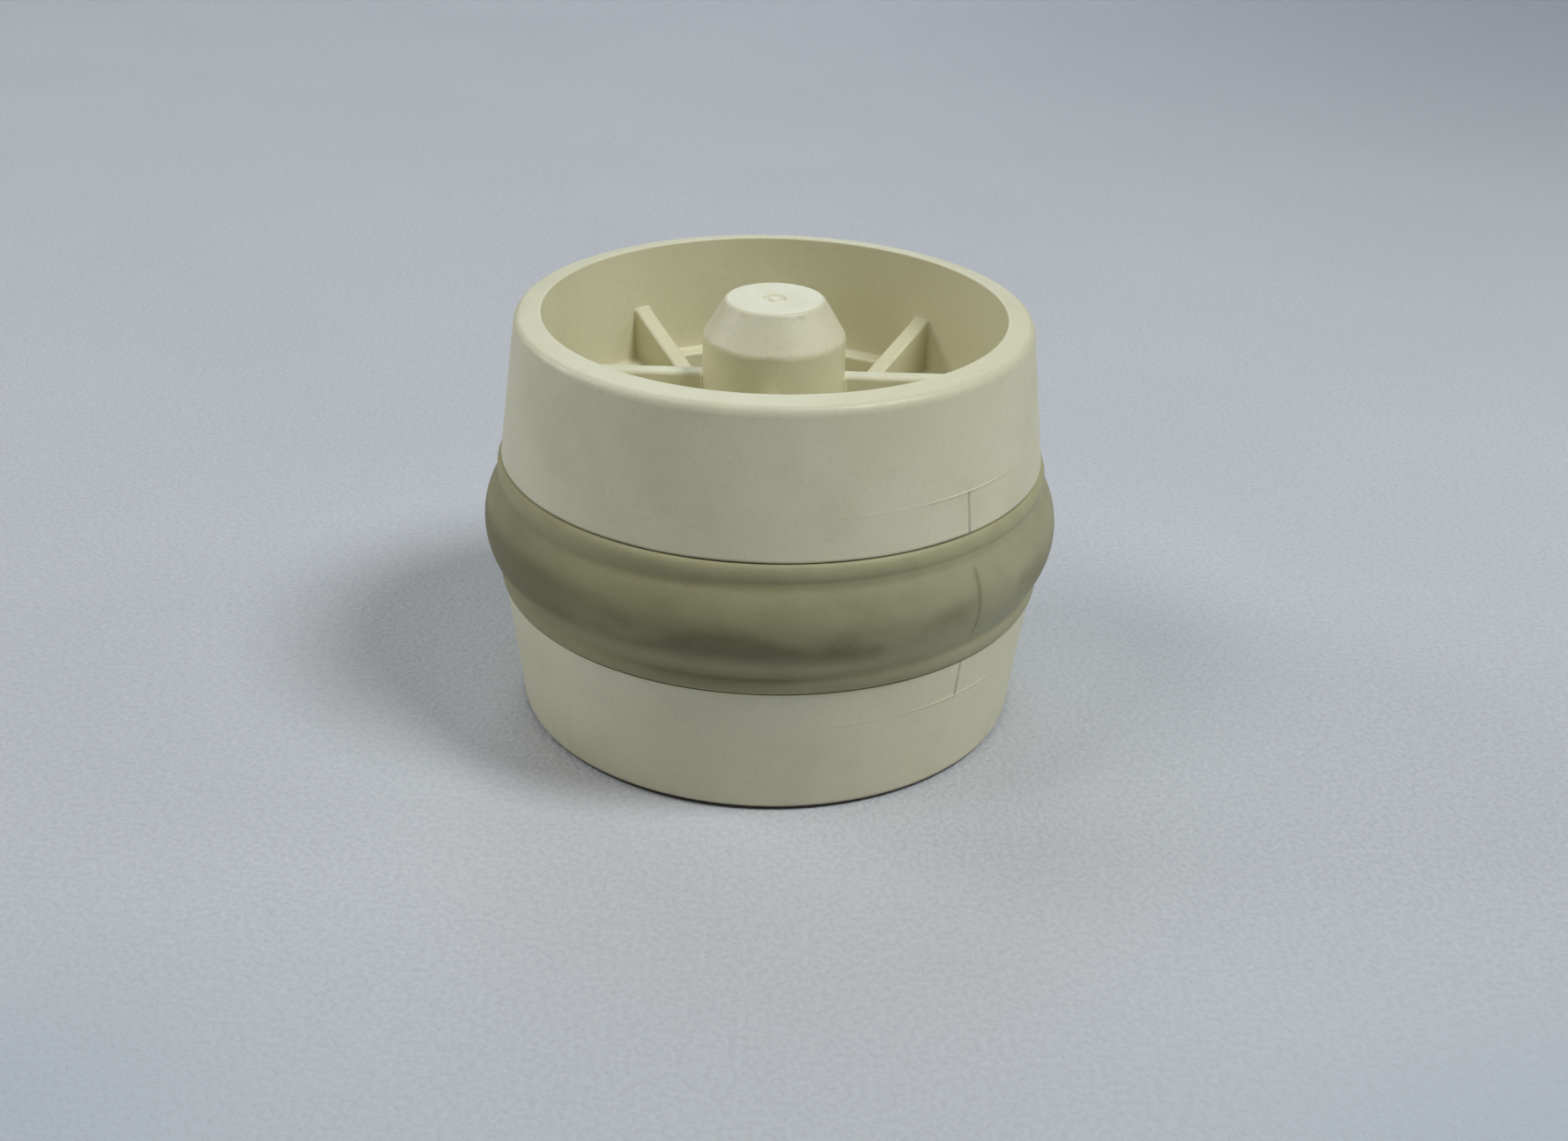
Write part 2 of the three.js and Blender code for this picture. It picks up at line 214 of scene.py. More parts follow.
def well_r(depth):
    return WELL_R - WELL_DRAFT * depth


# ---------------------------------------------------------------- scene and camera


def add_object(name, data):
    """Puts a new object in the scene."""
    obj = bpy.data.objects.new(name, data)
    bpy.context.scene.collection.objects.link(obj)
    return obj


def make_camera():
    """A camera in front of the roller, looking down on it, a little rolled."""
    pitch = math.radians(26.62)
    roll = math.radians(1.62)
    distance = 4.924 * HEIGHT * MM
    aim_right = 0.0384 * HEIGHT * MM
    aim_up = -0.1686 * HEIGHT * MM
    forward = Vector((0, math.cos(pitch), -math.sin(pitch)))
    level_right = Vector((1, 0, 0))
    level_up = Vector((0, math.sin(pitch), math.cos(pitch)))
    right = math.cos(roll) * level_right + math.sin(roll) * level_up
    up = math.cos(roll) * level_up - math.sin(roll) * level_right
    target = Vector((0, 0, HEIGHT * MM / 2)) + aim_right * level_right + aim_up * level_up
    camera = add_object("camera", bpy.data.cameras.new("camera"))
    camera.data.sensor_width = 36
    camera.data.lens = 46.05
    camera.data.clip_start = 0.01
    camera.matrix_world = Matrix.Translation(target - distance * forward) @ Matrix(
        (right, up, -forward)
    ).transposed().to_4x4()
    bpy.context.scene.camera = camera


# ---------------------------------------------------------------- mesh helpers


def new_object(name, vertices, faces):
    """A mesh object from vertices in millimetres, with its faces turned outwards."""
    mesh = bpy.data.meshes.new(name)
    mesh.from_pydata([Vector(v) * MM for v in vertices], [], faces)
    work = bmesh.new()
    work.from_mesh(mesh)
    bmesh.ops.remove_doubles(work, verts=work.verts, dist=1e-7)
    bmesh.ops.recalc_face_normals(work, faces=work.faces)
    work.to_mesh(mesh)
    work.free()
    return add_object(name, mesh)


def rounded(corners):
    """The outline through (r, z, fillet) corners, with an arc in place of each filleted corner."""
    path = []
    for i, (r, z, fillet) in enumerate(corners):
        here = Vector((r, z))
        if not fillet:
            path.append((r, z))
            continue
        before = Vector(corners[i - 1][:2]) - here
        after = Vector(corners[(i + 1) % len(corners)][:2]) - here
        half = before.angle(after) / 2
        reach = min(fillet / math.tan(half), 0.49 * before.length, 0.49 * after.length)
        radius = reach * math.tan(half)
        middle = before.normalized() + after.normalized()
        centre = here + middle.normalized() * (radius / math.sin(half))
        start = here + before.normalized() * reach - centre
        end = here + after.normalized() * reach - centre
        first = math.atan2(start.y, start.x)
        sweep = (math.atan2(end.y, end.x) - first + math.pi) % TURN - math.pi
        for step in range(FILLET_STEPS + 1):
            angle = first + sweep * step / FILLET_STEPS
            path.append((centre.x + radius * math.cos(angle), centre.y + radius * math.sin(angle)))
    return path


def lathe(name, outline, azimuths=None, relief=None):
    """A body of revolution.

    The outline of (r, z) starts and ends on the axis, or closes on itself.
    """
    if azimuths is None:
        azimuths = [TURN * i / TURNED_SEGMENTS for i in range(TURNED_SEGMENTS)]
    count = len(azimuths)
    vertices, rows = [], []
    for r, z in outline:
        first = len(vertices)
        if r < 1e-6:
            vertices.append((0, 0, z))
            rows.append([first] * count)
            continue
        for azimuth in azimuths:
            reach = r + (relief(r, z, azimuth) if relief else 0)
            vertices.append((reach * math.cos(azimuth), reach * math.sin(azimuth), z))
        rows.append(list(range(first, first + count)))
    if outline[0][0] > 1e-6:
        rows.append(rows[0])
    faces = []
    for lower, upper in zip(rows, rows[1:]):
        for i in range(count):
            j = (i + 1) % count
            corners = dict.fromkeys((lower[i], lower[j], upper[j], upper[i]))
            if len(corners) > 2:
                faces.append(tuple(corners))
    return new_object(name, vertices, faces)


def prism(name, outline, low, high):
    """A flat outline of (x, y), extruded from z = low to z = high."""
    count = len(outline)
    vertices = [(x, y, z) for z in (low, high) for x, y in outline]
    faces = [tuple(range(count)), tuple(range(count, 2 * count))]
    for i in range(count):
        j = (i + 1) % count
        faces.append((i, j, j + count, i + count))
    return new_object(name, vertices, faces)


def disc_outline(radius, centre):
    angles = [TURN * i / DISC_SEGMENTS for i in range(DISC_SEGMENTS)]
    return [(centre[0] + radius * math.cos(a), centre[1] + radius * math.sin(a)) for a in angles]


def apply_modifiers(obj):
    graph = bpy.context.evaluated_depsgraph_get()
    mesh = bpy.data.meshes.new_from_object(obj.evaluated_get(graph))
    obj.modifiers.clear()
    obj.data = mesh


def combine(obj, tool, operation):
    """Joins the tool to the object, cuts it away or keeps what both hold, and removes the tool."""
    modifier = obj.modifiers.new("combine", "BOOLEAN")
    modifier.operation = operation
    modifier.solver = "MANIFOLD"
    modifier.object = tool
    apply_modifiers(obj)
    bpy.data.objects.remove(tool)


def join(name, parts):
    """One object that holds several separate solids."""
    work = bmesh.new()
    for part in parts:
        work.from_mesh(part.data)
        bpy.data.objects.remove(part)
    mesh = bpy.data.meshes.new(name)
    work.to_mesh(mesh)
    work.free()
    return add_object(name, mesh)


def settle(obj, body, node, material, crease=32):
    """Gives a finished piece its shading and material, and its place in the frame."""
    obj.data.shade_smooth()
    obj.data.set_sharp_from_angle(angle=math.radians(crease))
    normals = obj.modifiers.new("even_normals", "WEIGHTED_NORMAL")
    normals.keep_sharp = True
    apply_modifiers(obj)
    obj.data.materials.clear()
    obj.data.materials.append(material)
    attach(obj, body)
    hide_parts(node)


# ---------------------------------------------------------------- materials


class Look:
    """A material with one Principled shader, and short calls for the nodes that feed it."""

    def __init__(self, name, roughness, metallic=0.0):
        self.material = bpy.data.materials.new(name)
        self.material.use_nodes = True
        self.tree = self.material.node_tree
        self.shader = self.tree.nodes["Principled BSDF"]
        self.shader.inputs["Roughness"].default_value = roughness
        self.shader.inputs["Metallic"].default_value = metallic
        self.place = self.node("ShaderNodeTexCoord").outputs["Object"]

    def node(self, kind, **settings):
        node = self.tree.nodes.new(kind)
        for key, value in settings.items():
            setattr(node, key, value)
        return node

    def feed(self, socket, value):
        if isinstance(value, bpy.types.NodeSocket):
            self.tree.links.new(value, socket)
        else:
            socket.default_value = value

    def math(self, operation, a, b=0.0):
        node = self.node("ShaderNodeMath", operation=operation)
        self.feed(node.inputs[0], a)
        self.feed(node.inputs[1], b)
        return node.outputs[0]

    def times(self, a, b):
        return self.math("MULTIPLY", a, b)

    def stretched(self, scale):
        node = self.node("ShaderNodeMapping")
        self.feed(node.inputs["Vector"], self.place)
        node.inputs["Scale"].default_value = scale
        return node.outputs[0]

    def noise(self, scale, detail, vector=None):
        """Noise from 0 to 1, with its scale in features to the metre.

        A stretched vector brings that scale itself.
        """
        node = self.node("ShaderNodeTexNoise")
        self.feed(node.inputs["Vector"], vector or self.place)
        node.inputs["Scale"].default_value = scale
        node.inputs["Detail"].default_value = detail
        return node.outputs["Fac"]

    def band(self, value, low, high, to_low=0.0, to_high=1.0):
        """Runs smoothly from to_low to to_high as the value goes from low to high."""
        node = self.node("ShaderNodeMapRange", interpolation_type="SMOOTHSTEP")
        node.inputs["From Min"].default_value = low
        node.inputs["From Max"].default_value = high
        node.inputs["To Min"].default_value = to_low
        node.inputs["To Max"].default_value = to_high
        self.feed(node.inputs["Value"], value)
        return node.outputs[0]

    def mix(self, factor, a, b):
        node = self.node("ShaderNodeMix", data_type="RGBA")
        self.feed(node.inputs[0], factor)
        for socket, colour in ((node.inputs[6], a), (node.inputs[7], b)):
            if isinstance(colour, tuple):
                colour = (*colour, 1.0)
            self.feed(socket, colour)
        return node.outputs[2]

    def height(self, value, depth):
        """Bump from a height between 0 and 1, where 1 stands for a depth in millimetres."""
        node = self.node("ShaderNodeBump")
        node.inputs["Strength"].default_value = 1.0
        node.inputs["Distance"].default_value = depth * MM
        self.feed(node.inputs["Height"], value)
        self.tree.links.new(node.outputs[0], self.shader.inputs["Normal"])

    def colour(self, value):
        self.feed(self.shader.inputs["Base Color"], value)

    def rough(self, value):
        self.feed(self.shader.inputs["Roughness"], value)

    def along(self, axis):
        """The place along an axis, in metres."""
        parts = self.node("ShaderNodeSeparateXYZ")
        self.feed(parts.inputs[0], self.place)
        return parts.outputs[axis]

    def height_between(self, low, high, soft):
        """1 between two heights in millimetres, fading to 0 within a soft distance outside them."""
        above = self.band(self.along("Z"), (low - soft) * MM, low * MM)
        below = self.band(self.along("Z"), high * MM, (high + soft) * MM, 1.0, 0.0)
        return self.times(above, below)

    def outside(self, low, high):
        """0 nearer to the axis than low and 1 further from it than high, in millimetres."""
        node = self.node("ShaderNodeVectorMath", operation="LENGTH")
        self.feed(node.inputs[0], self.stretched((1, 1, 0)))
        return self.band(node.outputs["Value"], low * MM, high * MM)

    def near_split(self, low, high):
        """1 nearer to the split than low and 0 further from it than high, in millimetres."""
        azimuth = SPLIT_AZIMUTHS[0]
        node = self.node("ShaderNodeVectorMath", operation="DOT_PRODUCT")
        self.feed(node.inputs[0], self.place)
        node.inputs[1].default_value = (-math.sin(azimuth), math.cos(azimuth), 0)
        distance = self.math("ABSOLUTE", node.outputs["Value"])
        return self.band(distance, low * MM, high * MM, 1.0, 0.0)


def split_grime_and_slide_shade(look):
    """Grime in the mould lines along the split, and painted shade just under the slides' raised
    edges near it.
    """
    edges = 0.0
    # Painted shade: a dark line just under each slide's raised edge, stronger near the split.
    for z in (SLIDE_LOW_Z, SLIDE_HIGH_Z):
        edges = look.math("MAXIMUM", edges, look.height_between(z - 0.35, z - 0.25, 0.15))
    edges = look.times(edges, look.band(look.near_split(2, 14), 0.0, 1.0, 0.05, 0.2))
    between = look.height_between(SLIDE_LOW_Z, SLIDE_HIGH_Z, 0.1)
    split = look.times(between, look.near_split(0.1, 0.42))
    return look.times(look.math("MAXIMUM", edges, split), look.outside(38.0, 38.5))


def near_nose(look):
    return look.math("SUBTRACT", 1.0, look.outside(NOSE_R + 1, NOSE_R + 2))


def edge_specks(look):
    """Small brown marks along the nose's two edges."""
    edges = look.math(
        "MAXIMUM",
        look.height_between(NOSE_TOP_Z - 0.8, NOSE_TOP_Z - 0.4, 0.4),
        look.height_between(NOSE_CONE_Z - 0.3, NOSE_CONE_Z + 0.3, 0.6),
    )
    spots = look.band(look.noise(950, 2), 0.52, 0.68)
    return look.times(look.times(edges, spots), near_nose(look))


def nose_cone_painted_light(look):
    """The nose's cone, made paler by painted light."""
    cone = look.height_between(NOSE_CONE_Z + 0.8, NOSE_TOP_Z - 0.8, 1.0)
    return look.times(cone, near_nose(look))


def cream_plastic():
    """Hard plastic with faint stains and specks, grime along its split, painted shade under the
    slides' edges, above the band and on the roller's foot, and painted light on the nose's cone.
    """
    look = Look("cream_plastic", 0.42)
    cloud = look.noise(55, 4)
    colour = look.mix(look.band(cloud, 0.35, 0.65), (0.762, 0.73, 0.505), (0.80, 0.768, 0.55))
    stain = look.times(look.band(look.noise(95, 4), 0.48, 0.7, 0.0, 0.14), look.outside(37, 39))
    colour = look.mix(stain, colour, (0.52, 0.46, 0.32))
    # Painted light: the nose's cone is made paler.
    colour = look.mix(look.times(nose_cone_painted_light(look), 0.45), colour, (0.87, 0.85, 0.66))
    speck = look.band(look.noise(1300, 3), 0.5, 0.75, 0.0, 0.14)
    colour = look.mix(speck, colour, (0.50, 0.47, 0.33))
    colour = look.mix(look.times(edge_specks(look), 0.2), colour, (0.34, 0.25, 0.13))
    # Grime along the split and painted shade under the slides' edges, patchy along their length.
    line_patchiness = look.band(look.noise(150, 2), 0.3, 0.6, 0.25, 0.5)
    colour = look.mix(look.times(split_grime_and_slide_shade(look), line_patchiness), colour, (0.20, 0.18, 0.13))
    # Painted shade in the seam just above the band's upper edge, patchy along its length.
    seam = look.height_between(band_high - 0.1, band_high + 0.1, 0.45)
    seam = look.times(seam, look.outside(37.0, 37.5))
    shade_patchiness = look.band(look.noise(90, 3), 0.3, 0.65, 0.35, 0.7)
    colour = look.mix(look.times(seam, shade_patchiness), colour, (0.17, 0.145, 0.08))
    # Painted shade darkens the roller's foot where it meets the floor, standing in for the contact
    # shadow.
    foot = look.times(look.height_between(-1, 0.6, 0.35), look.outside(37.0, 38.0))
    look.colour(look.mix(look.times(foot, 0.85), colour, (0.10, 0.08, 0.06)))
    look.rough(look.band(look.noise(260, 3), 0.3, 0.7, 0.38, 0.5))
    look.height(look.noise(900, 3), 0.045)
    look.shader.inputs["Specular IOR Level"].default_value = 0.6
    return look.material


def olive_soft_plastic():
    """Soft plastic, made lighter towards +X by painted light, with a painted highlight on its upper
    bead, rubbed marks under its middle, and darker towards -X round its middle.
    """
    look = Look("olive_soft_plastic", 0.6)
    cloud = look.noise(1, 3, look.stretched((50, 50, 90)))
    # Painted light: both tones grow lighter towards +X.
    painted_light_plus_x = look.band(look.along("X"), -10 * MM, 40 * MM)
    darker = look.mix(painted_light_plus_x, (0.30, 0.288, 0.153), (0.39, 0.378, 0.222))
    lighter = look.mix(painted_light_plus_x, (0.36, 0.346, 0.188), (0.45, 0.436, 0.27))
    colour = look.mix(look.band(cloud, 0.3, 0.7), darker, lighter)
    # Painted highlight along the upper bead.
    bead = look.height_between(BAND_MID_Z + 8, BAND_MID_Z + 11, 1.2)
    colour = look.mix(look.times(bead, 0.6), colour, (0.50, 0.475, 0.27))
    rubbed = look.height_between(BAND_MID_Z - 2.2, BAND_MID_Z - 0.4, 3.6)
    rubbed = look.times(rubbed, look.band(look.along("X"), 18 * MM, 34 * MM, 1.0, 0.65))
    spread = look.noise(1, 6, look.stretched((85, 85, 120)))
    marks = look.times(rubbed, look.band(spread, 0.36, 0.66, 0.2, 0.7))
    # Darker towards -X round the middle.
    left = look.band(look.along("X"), -36 * MM, -14 * MM, 0.62, 0.0)
    left = look.times(left, look.height_between(BAND_MID_Z - 3, BAND_MID_Z + 1.5, 3.0))
    marks = look.math("MAXIMUM", marks, left)
    colour = look.mix(marks, colour, (0.135, 0.112, 0.045))
    mottle = look.band(look.noise(260, 5), 0.42, 0.7, 0.0, 0.12)
    colour = look.mix(mottle, colour, (0.19, 0.165, 0.085))
    split = look.times(look.near_split(0.15, 0.6), look.outside(BARREL_R + 1.0, BARREL_R + 1.8))
    colour = look.mix(look.times(split, 0.38), colour, (0.13, 0.10, 0.045))
    look.colour(colour)
    look.rough(look.band(cloud, 0.3, 0.7, 0.5, 0.6))
    look.height(look.noise(1100, 3), 0.05)
    look.shader.inputs["Specular IOR Level"].default_value = 0.4
    return look.material


def metal(name, dark, light, roughness, grain):
    """Turned or ground metal, with grain that runs round the axis."""
    look = Look(name, roughness, 1.0)
    rings = look.noise(1, 3, look.stretched((90, 90, grain)))
    look.colour(look.mix(look.band(rings, 0.3, 0.7), dark, light))
    look.rough(look.band(rings, 0.3, 0.7, roughness * 0.8, roughness * 1.25))
    look.height(rings, 0.01)
    return look.material


def soft_black():
    look = Look("black_rubber", 0.6)
    dust = look.noise(300, 4)
    look.colour(look.mix(look.band(dust, 0.4, 0.75), (0.016, 0.016, 0.017), (0.05, 0.048, 0.045)))
    look.rough(look.band(dust, 0.3, 0.7, 0.5, 0.75))
    look.height(look.noise(1600, 2), 0.02)
    return look.material


def natural_nylon():
    look = Look("natural_nylon", 0.45)
    cloud = look.noise(200, 3)
    look.colour(look.mix(look.band(cloud, 0.3, 0.7), (0.56, 0.48, 0.30), (0.66, 0.58, 0.40)))
    look.rough(look.band(cloud, 0.3, 0.7, 0.38, 0.52))
    look.height(look.noise(1300, 2), 0.02)
    return look.material


# ---------------------------------------------------------------- shell


def shell_azimuths():
    """Even steps, with close ones beside each split for its fine groove."""
    azimuths = {round(TURN * i / SHELL_SEGMENTS, 6) for i in range(SHELL_SEGMENTS)}
    for split in SPLIT_AZIMUTHS:
        for offset in (-2, -1, -0.5, 0, 0.5, 1, 2):
            azimuths.add(round((split + offset * SPLIT_WIDTH / BARREL_R) % TURN, 6))
    return sorted(azimuths)


def split_distance(azimuth):
    """How far round the barrel a point is from the nearer split."""
    turns = [abs((azimuth - split + math.pi) % TURN - math.pi) for split in SPLIT_AZIMUTHS]
    return min(turns) * BARREL_R


def split_groove(depth, azimuth):
    return -depth * math.exp(-((split_distance(azimuth) / SPLIT_WIDTH) ** 2))


def shell_relief(r, z, azimuth):
    """The slides' raised edges on the outside, highest near the split, and the split's groove."""
    if r < barrel_r(z) - 0.01:
        return 0
    if z in (SLIDE_LOW_Z, SLIDE_HIGH_Z):
        near = math.exp(-split_distance(azimuth) / FLASH_REACH)
        return FLASH_HEIGHT * (FLASH_FAR_SHARE + (1 - FLASH_FAR_SHARE) * near)
    return split_groove(SPLIT_DEPTH, azimuth) if SLIDE_LOW_Z < z < SLIDE_HIGH_Z else 0


def slide_edge(z):
    """Outline points of a slide's edge. The relief raises the middle one."""
    half = FLASH_WIDTH / 2
    return [(barrel_r(height), height, 0) for height in (z - half, z, z + half)]


def rim_round():
    """The elliptical rounding from the barrel's wall to the top rim."""
    low = HEIGHT - RIM_FALL - RIM_ROUND_Z
    centre_r = barrel_r(low) - RIM_ROUND_R
    points = []
    for i in range(RIM_STEPS + 1):
        angle = math.pi / 2 * i / RIM_STEPS
        r = centre_r + RIM_ROUND_R * math.cos(angle)
        points.append((r, low + RIM_ROUND_Z * math.sin(angle), 0))
    return points


def gate_mark():
    """Outline points of the ring that the gate leaves on the nose, with a bump inside it."""
    floor_z = NOSE_TOP_Z - GATE_DEPTH
    start_r, end_r, bump_r = (GATE_R - step for step in GATE_STEPS)
    slopes = [(GATE_R, NOSE_TOP_Z, 0.3), (start_r, floor_z, 0.2)]
    return [*slopes, (end_r, floor_z, 0.2), (bump_r, NOSE_TOP_Z, 0.3)]


def shell_outline():
    """The section, from under the nose's roof down the bore, round the barrel and up the nose."""
    nose_bore_r = NOSE_R - NOSE_WALL
    seat_r = BEARING_OUTER_R
    seat_top = upper_bearing_top + STACK_GAP
    shoulder_r = OUTER_LAND_R + SEAT_STEP
    clip_r = seat_r + CLIP_GROOVE + FIT
    clip_low = hub_clip_low - STACK_GAP
    clip_high = hub_clip_low + HUB_CLIP["thickness"] + STACK_GAP
    ledge_out_r = well_r(LEDGE_DEPTH)
    ledge_in_r = ledge_out_r - LEDGE_WIDTH
    floor_r = ledge_in_r - PIT_DRAFT
    return rounded(
        [
            (0, NOSE_TOP_Z - NOSE_WALL, 0),
            (NOSE_TOP_R - NOSE_WALL, NOSE_TOP_Z - NOSE_WALL, 1),
            (nose_bore_r, NOSE_CONE_Z, 1),
            (nose_bore_r, seat_top + (shoulder_r - nose_bore_r), 0),
            (shoulder_r, seat_top, 0),
            (seat_r, seat_top, 0),
            (seat_r, clip_high, 0),
            (clip_r, clip_high, 0),
            (clip_r, clip_low, 0),
            (seat_r, clip_low, 0),
            (seat_r, HOUSING_FOOT_Z, 0.4),
            (HOUSING_R, HOUSING_FOOT_Z, 0.6),
            (HOUSING_R, web_low, 1.2),
            (floor_r, web_low, 1.2),
            (ledge_in_r, LEDGE_DEPTH, 0.5),
            (ledge_out_r, LEDGE_DEPTH, 0.4),
            (WELL_R, 0, 0.4),
            (barrel_r(0), 0, 1.6),
            *slide_edge(SLIDE_LOW_Z),
            (BARREL_R, band_low, 0.05),
            (groove_r, band_low, 0),
            (groove_r, band_high, 0),
            (BARREL_R, band_high, 0.25),
            *slide_edge(SLIDE_HIGH_Z),
            *rim_round(),
            (WELL_R, HEIGHT, 0.3),
            (ledge_out_r, HEIGHT - LEDGE_DEPTH, 0.5),
            (ledge_in_r, HEIGHT - LEDGE_DEPTH, 0.5),
            (floor_r, web_high, 1.2),
            (NOSE_R, web_high, 1.2),
            (NOSE_R, NOSE_CONE_Z, 2.0),
            (NOSE_TOP_R, NOSE_TOP_Z, 0.8),
            *gate_mark(),
            (0, NOSE_TOP_Z, 0),
        ]
    )


QUARTER = [math.pi / 2 * i / FILLET_STEPS for i in range(1, FILLET_STEPS)]


def rib_section(half, foot, top, edge):
    """Points (across, up) round a rib's cross-section, with rounded upper edges."""
    straight = top - edge
    section = [(-half, foot), (-half, straight)]
    for a in QUARTER:
        section.append((-half + edge - edge * math.cos(a), straight + edge * math.sin(a)))
    for a in QUARTER:
        section.append((half - edge + edge * math.sin(a), straight + edge * math.cos(a)))
    return section + [(half, straight), (half, foot)]


def rib(azimuth, side, edge_height, hub_r):
    """A rib between the hub and the wall, with small fillets at both.

    Heights are from the web's middle.
    """
    wall_r = well_r(GUSSET_DEPTH)
    fillet_steps = [RIB_FILLET * i / FILLET_STEPS for i in range(FILLET_STEPS + 1)]
    start_r = hub_r - NOSE_WALL / 2
    end_r = wall_r + RIB_OVERLAP
    stations = [start_r, *(hub_r + step for step in fillet_steps)]
    stations += [*(wall_r - RIB_FILLET + step for step in fillet_steps), end_r]
    vertices = []
    for r in stations:
        away = min(max(min(r - hub_r, wall_r - r), 0), RIB_FILLET)
        spread = RIB_FILLET - math.sqrt(RIB_FILLET**2 - (RIB_FILLET - away) ** 2)
        half = RIB_THICKNESS / 2 + spread
        for across, up in rib_section(half, RIB_FOOT, edge_height(min(r, wall_r)), RIB_EDGE):
            x = r * math.cos(azimuth) - across * math.sin(azimuth)
            y = r * math.sin(azimuth) + across * math.cos(azimuth)
            vertices.append((x, y, WEB_MID_Z + side * up))
    size = len(vertices) // len(stations)
    faces = [tuple(range(size)), tuple(range(len(vertices) - size, len(vertices)))]
    for row in range(len(stations) - 1):
        for i in range(size):
            j = (i + 1) % size
            low, high = row * size, (row + 1) * size
            faces.append((low + i, low + j, high + j, high + i))
    return new_object("rib", vertices, faces)


def spoke_edge(_r):
    return HEIGHT / 2 - SPOKE_DEPTH


def gusset_edge(r):
    return HEIGHT / 2 - GUSSET_DEPTH - GUSSET_SLOPE * (well_r(GUSSET_DEPTH) - r)


def make_shell(material):
    shell = lathe("shell_moulding", shell_outline(), shell_azimuths(), shell_relief)
    ribs = []
    for side, hub_r in ((1, NOSE_R), (-1, HOUSING_R)):
        for azimuth in SPOKE_AZIMUTHS:
            ribs.append(rib(math.radians(azimuth), side, spoke_edge, hub_r))
        for azimuth in GUSSET_AZIMUTHS:
            ribs.append(rib(math.radians(azimuth), side, gusset_edge, hub_r))
    combine(shell, join("ribs", ribs), "UNION")
    settle(shell, "roller", "roller_shell", material, crease=20)


# ---------------------------------------------------------------- band


def band_outline():
    """A rounded bead at each edge, a fold beside it, and the crown between the folds."""
    inner_r = groove_r + BAND_GAP
    lip_r = BARREL_R + LIP_PROUD
    rise = CROWN_PROUD - LIP_PROUD
    half_chord = BAND_WIDTH / 2 - BAND_LIP
    crown_r = (half_chord**2 + rise**2) / (2 * rise)
    crown_centre_r = lip_r + rise - crown_r
    valley_r = lip_r - VALLEY_DEPTH
    between_centres = crown_r + FOLD_R
    fold_z = math.sqrt(between_centres**2 - (valley_r + FOLD_R - crown_centre_r) ** 2)
    sweep = math.asin(fold_z / between_centres)
    bead_centre_r = lip_r - BEAD_R
    bead_centre_z = BAND_WIDTH / 2 - BAND_GAP - BEAD_Z
    half = []
    for i in range(BEAD_STEPS + 1):
        angle = math.radians(BEAD_START - BEAD_SWEEP * i / BEAD_STEPS)
        r = bead_centre_r + BEAD_R * math.cos(angle)
        half.append((r, bead_centre_z + BEAD_Z * math.sin(angle)))
    for i in range(FOLD_STEPS + 1):
        angle = sweep * i / FOLD_STEPS
        half.append((valley_r + FOLD_R * (1 - math.cos(angle)), fold_z - FOLD_R * math.sin(angle)))
    for i in range(1, CROWN_STEPS + 1):
        angle = sweep * (1 - i / CROWN_STEPS)
        half.append((crown_centre_r + crown_r * math.cos(angle), crown_r * math.sin(angle)))
    lower = [(r, BAND_MID_Z - away) for r, away in half]
    upper = [(r, BAND_MID_Z + away) for r, away in reversed(half[:-1])]
    return [(inner_r, lower[0][1]), *lower, *upper, (inner_r, upper[-1][1])]


def band_relief(r, _z, azimuth):
    return split_groove(SPLIT_DEPTH / 3, azimuth) if r > BARREL_R else 0


def make_band(material):
    band = lathe("soft_bumper", band_outline(), shell_azimuths(), band_relief)
    settle(band, "roller", "bumper_band", material)


# ---------------------------------------------------------------- bearings


def raceway(land_r):
    race_r = BALL_R + RACE_GAP
    sweep = math.acos(abs(land_r - PITCH_R) / race_r)
    middle = 0 if land_r > PITCH_R else math.pi
    middle_z = BEARING_WIDTH / 2
    angles = [middle + sweep - 2 * sweep * i / RACE_STEPS for i in range(RACE_STEPS + 1)]
    return [(PITCH_R + race_r * math.cos(a), middle_z + race_r * math.sin(a), 0) for a in angles]


def raised(outline, z):
    return [(r, height + z) for r, height in outline]


def ring_outline(inner_r, outer_r, low, high, edge):
    corners = ((inner_r, low), (outer_r, low), (outer_r, high), (inner_r, high))
    return rounded([(r, z, edge) for r, z in corners])


def ball_centre(index, z):
    angle = TURN * index / BALLS
    return (PITCH_R * math.cos(angle), PITCH_R * math.sin(angle), z + BEARING_WIDTH / 2)


def ball(name, centre, radius):
    work = bmesh.new()
    bmesh.ops.create_icosphere(work, subdivisions=4, radius=radius * MM)
    bmesh.ops.translate(work, verts=work.verts, vec=Vector(centre) * MM)
    mesh = bpy.data.meshes.new(name)
    work.to_mesh(mesh)
    work.free()
    return add_object(name, mesh)


def inner_race():
    bore_r = BEARING_BORE_R + FIT
    width = BEARING_WIDTH
    low = [(bore_r, 0, 0.3), (INNER_LAND_R, 0, 0.2)]
    high = [(INNER_LAND_R, width, 0.2), (bore_r, width, 0.3)]
    return rounded([*low, *raceway(INNER_LAND_R), *high])


def outer_race():
    outside_r = BEARING_OUTER_R - FIT
    width = BEARING_WIDTH
    outside = [(OUTER_LAND_R, 0, 0.2), (outside_r, 0, 0.3), (outside_r, width, 0.3)]
    return rounded([*outside, (OUTER_LAND_R, width, 0.2), *raceway(OUTER_LAND_R)])


def make_cage(name, z):
    """A crown cage: a ring whose prongs reach up between the balls."""
    low = z + SHIELD_RECESS + SHIELD_THICKNESS + CAGE_GAP
    high = z + BEARING_WIDTH / 2 + PRONG_RISE
    cage = lathe(name, ring_outline(CAGE_IN_R, CAGE_OUT_R, low, high, 0.15))
    pockets = [ball("pocket", ball_centre(i, z), BALL_R + POCKET_GAP) for i in range(BALLS)]
    combine(cage, join("pockets", pockets), "DIFFERENCE")
    return cage


